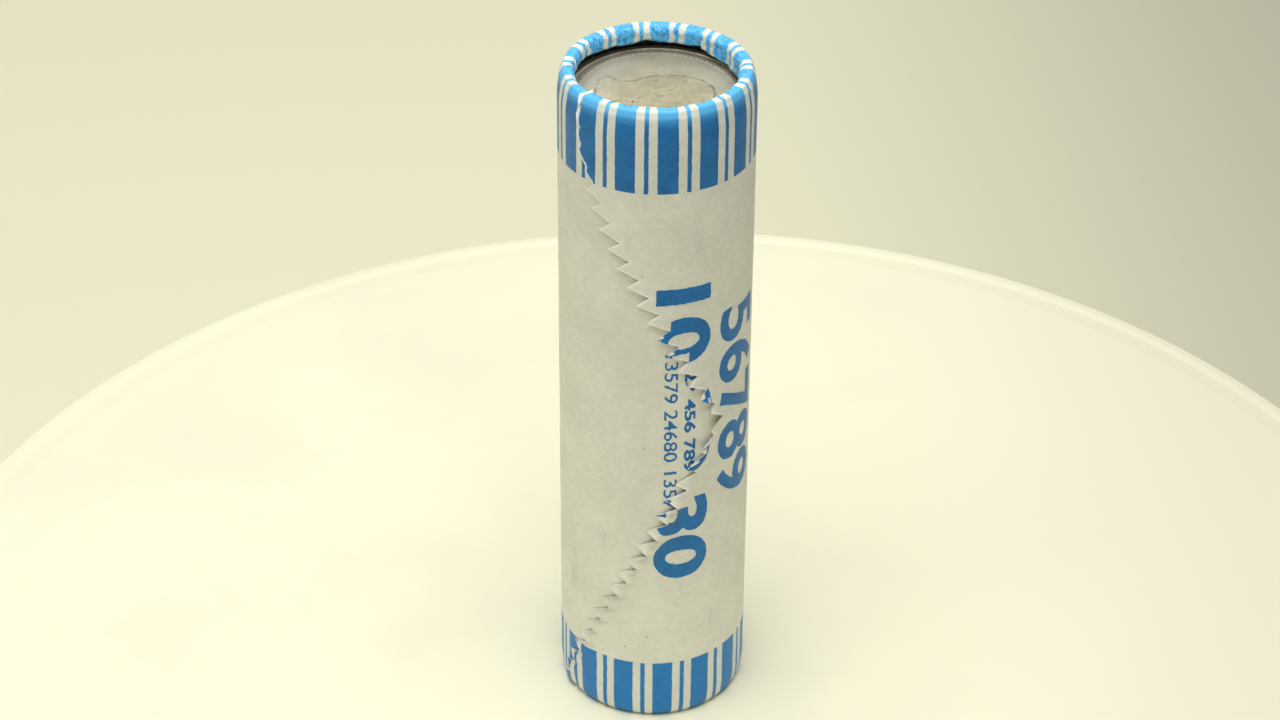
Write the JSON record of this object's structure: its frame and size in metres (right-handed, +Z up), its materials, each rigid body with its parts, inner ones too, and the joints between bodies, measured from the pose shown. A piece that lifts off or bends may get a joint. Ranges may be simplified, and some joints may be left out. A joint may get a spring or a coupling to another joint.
{
  "type": "coin roll",
  "caption": "Standing paper roll of coins: a wound paper wrapper with a rolled bead at each end and a notched, pinked lap, holding a loose stack of coins with raised rims.",
  "frame": {"origin": "middle of the lower end, on the roll's axis and on the surface that the roll stands on", "axes": "+Z up along the roll's axis; the lapped edge faces -Y, with the apex of its notch towards +X"},
  "size_m": [0.0221, 0.0221, 0.0844],
  "materials": {
    "printed_paper": "matte, printed with blue bands of stripes at both ends",
    "coin_metal": "worn, dull copper-nickel"
  },
  "bodies": {
    "wrapper": {"wrapper": "printed_paper"},
    "coin_01": {"coin_01": "coin_metal"},
    "coin_02": {"coin_02": "coin_metal"},
    "coin_03": {"coin_03": "coin_metal"},
    "coin_04": {"coin_04": "coin_metal"},
    "coin_05": {"coin_05": "coin_metal"},
    "coin_06": {"coin_06": "coin_metal"},
    "coin_07": {"coin_07": "coin_metal"},
    "coin_08": {"coin_08": "coin_metal"},
    "coin_09": {"coin_09": "coin_metal"},
    "coin_10": {"coin_10": "coin_metal"},
    "coin_11": {"coin_11": "coin_metal"},
    "coin_12": {"coin_12": "coin_metal"},
    "coin_13": {"coin_13": "coin_metal"},
    "coin_14": {"coin_14": "coin_metal"},
    "coin_15": {"coin_15": "coin_metal"},
    "coin_16": {"coin_16": "coin_metal"},
    "coin_17": {"coin_17": "coin_metal"},
    "coin_18": {"coin_18": "coin_metal"},
    "coin_19": {"coin_19": "coin_metal"},
    "coin_20": {"coin_20": "coin_metal"},
    "coin_21": {"coin_21": "coin_metal"},
    "coin_22": {"coin_22": "coin_metal"},
    "coin_23": {"coin_23": "coin_metal"},
    "coin_24": {"coin_24": "coin_metal"},
    "coin_25": {"coin_25": "coin_metal"},
    "coin_26": {"coin_26": "coin_metal"},
    "coin_27": {"coin_27": "coin_metal"},
    "coin_28": {"coin_28": "coin_metal"},
    "coin_29": {"coin_29": "coin_metal"},
    "coin_30": {"coin_30": "coin_metal"},
    "coin_31": {"coin_31": "coin_metal"},
    "coin_32": {"coin_32": "coin_metal"},
    "coin_33": {"coin_33": "coin_metal"},
    "coin_34": {"coin_34": "coin_metal"},
    "coin_35": {"coin_35": "coin_metal"},
    "coin_36": {"coin_36": "coin_metal"},
    "coin_37": {"coin_37": "coin_metal"},
    "coin_38": {"coin_38": "coin_metal"},
    "coin_39": {"coin_39": "coin_metal"},
    "coin_40": {"coin_40": "coin_metal"}
  },
  "joints": [
    {"name": "stack_slide", "type": "slide", "parent": "wrapper", "child": "coin_01", "axis": [0, 0, 1], "range_m": [0, 0.00045]},
    {"name": "coin_02_spin", "type": "hinge", "parent": "coin_01", "child": "coin_02", "pos_m": [0, 0, 0.00547], "axis": [0, 0, 1], "continuous": true},
    {"name": "coin_03_spin", "type": "hinge", "parent": "coin_01", "child": "coin_03", "pos_m": [0, 0, 0.00743], "axis": [0, 0, 1], "continuous": true},
    {"name": "coin_04_spin", "type": "hinge", "parent": "coin_01", "child": "coin_04", "pos_m": [0, 0, 0.00937], "axis": [0, 0, 1], "continuous": true},
    {"name": "coin_05_spin", "type": "hinge", "parent": "coin_01", "child": "coin_05", "pos_m": [0, 0, 0.01132], "axis": [0, 0, 1], "continuous": true},
    {"name": "coin_06_spin", "type": "hinge", "parent": "coin_01", "child": "coin_06", "pos_m": [0, 0, 0.01328], "axis": [0, 0, 1], "continuous": true},
    {"name": "coin_07_spin", "type": "hinge", "parent": "coin_01", "child": "coin_07", "pos_m": [0, 0, 0.01523], "axis": [0, 0, 1], "continuous": true},
    {"name": "coin_08_spin", "type": "hinge", "parent": "coin_01", "child": "coin_08", "pos_m": [0, 0, 0.01717], "axis": [0, 0, 1], "continuous": true},
    {"name": "coin_09_spin", "type": "hinge", "parent": "coin_01", "child": "coin_09", "pos_m": [0, 0, 0.01912], "axis": [0, 0, 1], "continuous": true},
    {"name": "coin_10_spin", "type": "hinge", "parent": "coin_01", "child": "coin_10", "pos_m": [0, 0, 0.02107], "axis": [0, 0, 1], "continuous": true},
    {"name": "coin_11_spin", "type": "hinge", "parent": "coin_01", "child": "coin_11", "pos_m": [0, 0, 0.02303], "axis": [0, 0, 1], "continuous": true},
    {"name": "coin_12_spin", "type": "hinge", "parent": "coin_01", "child": "coin_12", "pos_m": [0, 0, 0.02498], "axis": [0, 0, 1], "continuous": true},
    {"name": "coin_13_spin", "type": "hinge", "parent": "coin_01", "child": "coin_13", "pos_m": [0, 0, 0.02693], "axis": [0, 0, 1], "continuous": true},
    {"name": "coin_14_spin", "type": "hinge", "parent": "coin_01", "child": "coin_14", "pos_m": [0, 0, 0.02888], "axis": [0, 0, 1], "continuous": true},
    {"name": "coin_15_spin", "type": "hinge", "parent": "coin_01", "child": "coin_15", "pos_m": [0, 0, 0.03083], "axis": [0, 0, 1], "continuous": true},
    {"name": "coin_16_spin", "type": "hinge", "parent": "coin_01", "child": "coin_16", "pos_m": [0, 0, 0.03277], "axis": [0, 0, 1], "continuous": true},
    {"name": "coin_17_spin", "type": "hinge", "parent": "coin_01", "child": "coin_17", "pos_m": [0, 0, 0.03472], "axis": [0, 0, 1], "continuous": true},
    {"name": "coin_18_spin", "type": "hinge", "parent": "coin_01", "child": "coin_18", "pos_m": [0, 0, 0.03667], "axis": [0, 0, 1], "continuous": true},
    {"name": "coin_19_spin", "type": "hinge", "parent": "coin_01", "child": "coin_19", "pos_m": [0, 0, 0.03862], "axis": [0, 0, 1], "continuous": true},
    {"name": "coin_20_spin", "type": "hinge", "parent": "coin_01", "child": "coin_20", "pos_m": [0, 0, 0.04057], "axis": [0, 0, 1], "continuous": true},
    {"name": "coin_21_spin", "type": "hinge", "parent": "coin_01", "child": "coin_21", "pos_m": [0, 0, 0.04253], "axis": [0, 0, 1], "continuous": true},
    {"name": "coin_22_spin", "type": "hinge", "parent": "coin_01", "child": "coin_22", "pos_m": [0, 0, 0.04448], "axis": [0, 0, 1], "continuous": true},
    {"name": "coin_23_spin", "type": "hinge", "parent": "coin_01", "child": "coin_23", "pos_m": [0, 0, 0.04643], "axis": [0, 0, 1], "continuous": true},
    {"name": "coin_24_spin", "type": "hinge", "parent": "coin_01", "child": "coin_24", "pos_m": [0, 0, 0.04838], "axis": [0, 0, 1], "continuous": true},
    {"name": "coin_25_spin", "type": "hinge", "parent": "coin_01", "child": "coin_25", "pos_m": [0, 0, 0.05033], "axis": [0, 0, 1], "continuous": true},
    {"name": "coin_26_spin", "type": "hinge", "parent": "coin_01", "child": "coin_26", "pos_m": [0, 0, 0.05228], "axis": [0, 0, 1], "continuous": true},
    {"name": "coin_27_spin", "type": "hinge", "parent": "coin_01", "child": "coin_27", "pos_m": [0, 0, 0.05423], "axis": [0, 0, 1], "continuous": true},
    {"name": "coin_28_spin", "type": "hinge", "parent": "coin_01", "child": "coin_28", "pos_m": [0, 0, 0.05618], "axis": [0, 0, 1], "continuous": true},
    {"name": "coin_29_spin", "type": "hinge", "parent": "coin_01", "child": "coin_29", "pos_m": [0, 0, 0.05813], "axis": [0, 0, 1], "continuous": true},
    {"name": "coin_30_spin", "type": "hinge", "parent": "coin_01", "child": "coin_30", "pos_m": [0, 0, 0.06008], "axis": [0, 0, 1], "continuous": true},
    {"name": "coin_31_spin", "type": "hinge", "parent": "coin_01", "child": "coin_31", "pos_m": [0, 0, 0.06202], "axis": [0, 0, 1], "continuous": true},
    {"name": "coin_32_spin", "type": "hinge", "parent": "coin_01", "child": "coin_32", "pos_m": [0, 0, 0.06398], "axis": [0, 0, 1], "continuous": true},
    {"name": "coin_33_spin", "type": "hinge", "parent": "coin_01", "child": "coin_33", "pos_m": [0, 0, 0.06592], "axis": [0, 0, 1], "continuous": true},
    {"name": "coin_34_spin", "type": "hinge", "parent": "coin_01", "child": "coin_34", "pos_m": [0, 0, 0.06788], "axis": [0, 0, 1], "continuous": true},
    {"name": "coin_35_spin", "type": "hinge", "parent": "coin_01", "child": "coin_35", "pos_m": [0, 0, 0.06982], "axis": [0, 0, 1], "continuous": true},
    {"name": "coin_36_spin", "type": "hinge", "parent": "coin_01", "child": "coin_36", "pos_m": [0, 0, 0.07178], "axis": [0, 0, 1], "continuous": true},
    {"name": "coin_37_spin", "type": "hinge", "parent": "coin_01", "child": "coin_37", "pos_m": [0, 0, 0.07372], "axis": [0, 0, 1], "continuous": true},
    {"name": "coin_38_spin", "type": "hinge", "parent": "coin_01", "child": "coin_38", "pos_m": [0, 0, 0.07568], "axis": [0, 0, 1], "continuous": true},
    {"name": "coin_39_spin", "type": "hinge", "parent": "coin_01", "child": "coin_39", "pos_m": [0, 0, 0.07762], "axis": [0, 0, 1], "continuous": true},
    {"name": "coin_40_spin", "type": "hinge", "parent": "coin_01", "child": "coin_40", "pos_m": [0, 0, 0.07958], "axis": [0, 0, 1], "continuous": true}
  ]
}
